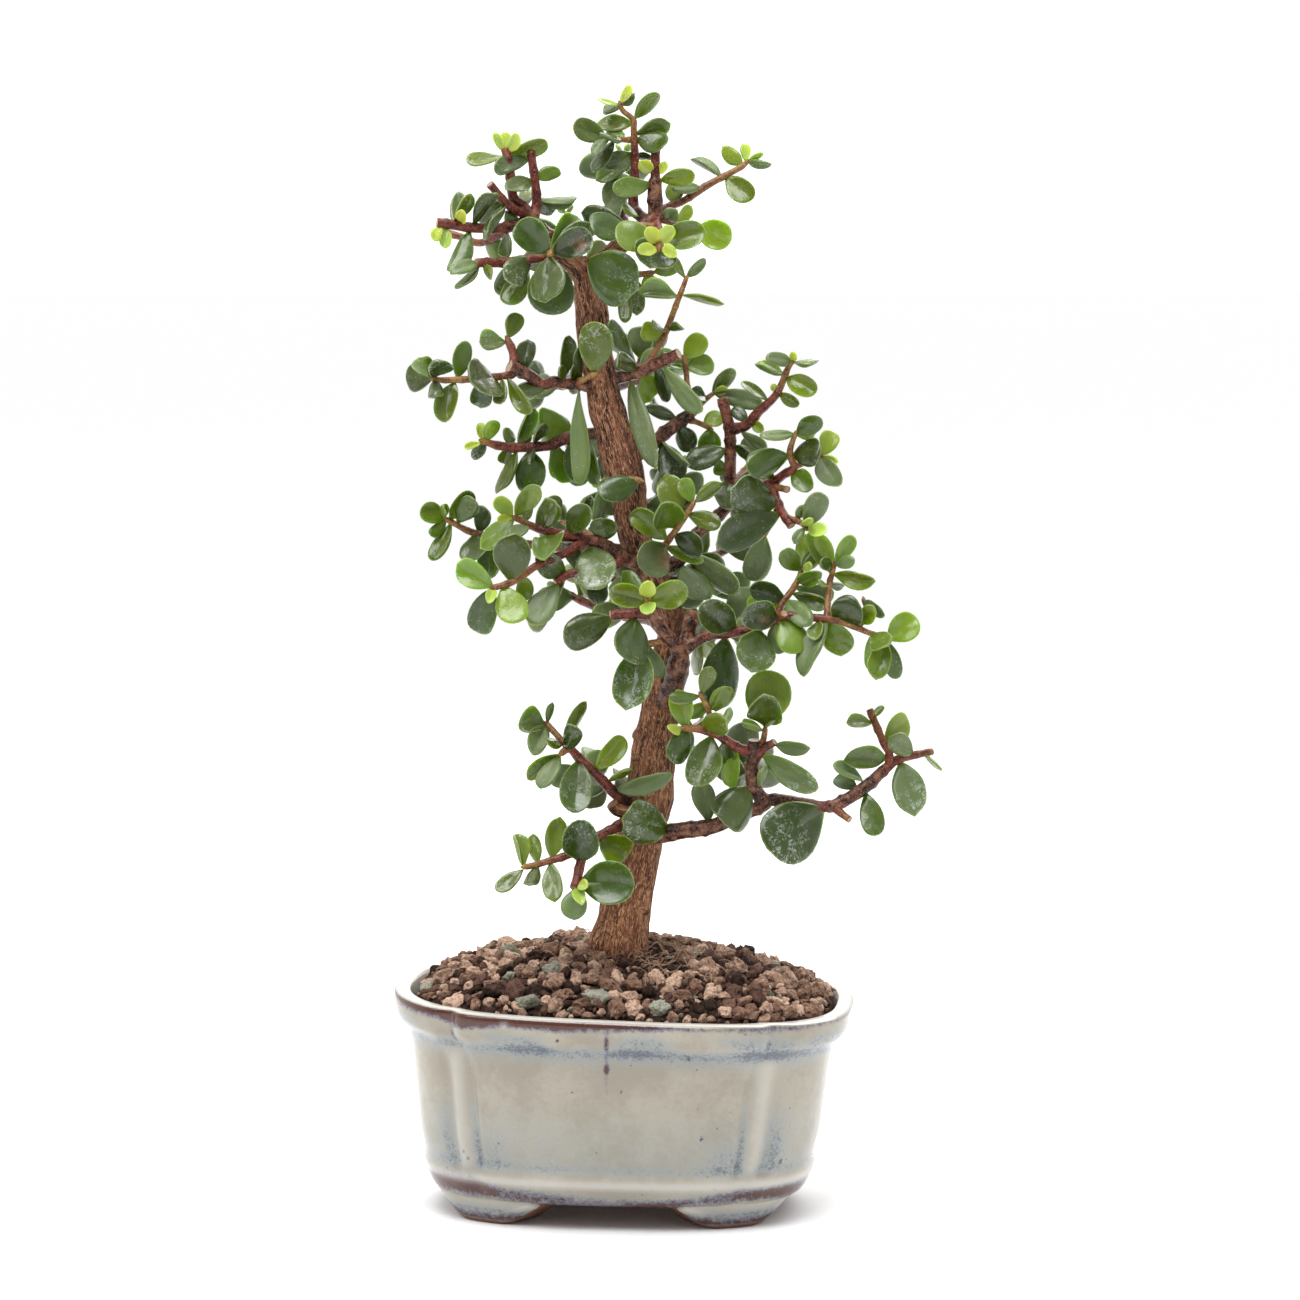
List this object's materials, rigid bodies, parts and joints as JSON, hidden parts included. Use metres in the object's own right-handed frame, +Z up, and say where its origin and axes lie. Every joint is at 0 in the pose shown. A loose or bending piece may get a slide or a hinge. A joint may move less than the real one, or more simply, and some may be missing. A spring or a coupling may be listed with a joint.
{
  "type": "dwarf jade bonsai",
  "caption": "Small potted succulent tree with a straight barked trunk, short red-brown branches of round fleshy leaves, and a low lobed glazed pot on bracket feet filled with grit.",
  "frame": {"origin": "centre of the underside of the object's bounding box, at the table that the pot stands on", "axes": "+Z up; +X along the pot's long side, to the right seen from the front; +Y from the front to the back"},
  "size_m": [0.182, 0.115, 0.375],
  "materials": {
    "glaze": "glossy cream stoneware glaze, blue-grey where it pools and brown where it breaks at the edges",
    "plastic_mesh": "matt moulded mesh",
    "soil": "dry brown and tan baked-clay grit",
    "bark": "rough brown bark with fine upright fissures",
    "foliage": "satin, fleshy green leaves on red-brown shoots"
  },
  "bodies": {
    "root": {"pot": "glaze", "drain_mesh_left": "plastic_mesh", "drain_mesh_right": "plastic_mesh", "soil": "soil", "trunk": "bark", "spray_top_left": "foliage", "spray_fork_front": "foliage", "spray_fork_middle": "foliage", "spray_fork_under": "foliage", "spray_top": "foliage", "spray_left_upper": "foliage", "spray_right_upper": "foliage", "spray_right_middle": "foliage", "spray_right": "foliage", "spray_centre": "foliage", "twig_front": "foliage", "spray_front": "foliage", "spray_right_low": "foliage", "spray_low_right": "foliage", "spray_low_left": "foliage", "spray_base_left": "foliage", "spray_left_middle": "foliage", "spray_left_low": "foliage", "spray_left_back": "foliage", "spray_back_top": "foliage", "spray_back_crown": "foliage", "spray_back_upper": "foliage", "spray_back_left": "foliage", "spray_back_right": "foliage", "spray_back_middle": "foliage", "spray_back_low": "foliage", "spray_back_base": "foliage"}
  },
  "joints": []
}
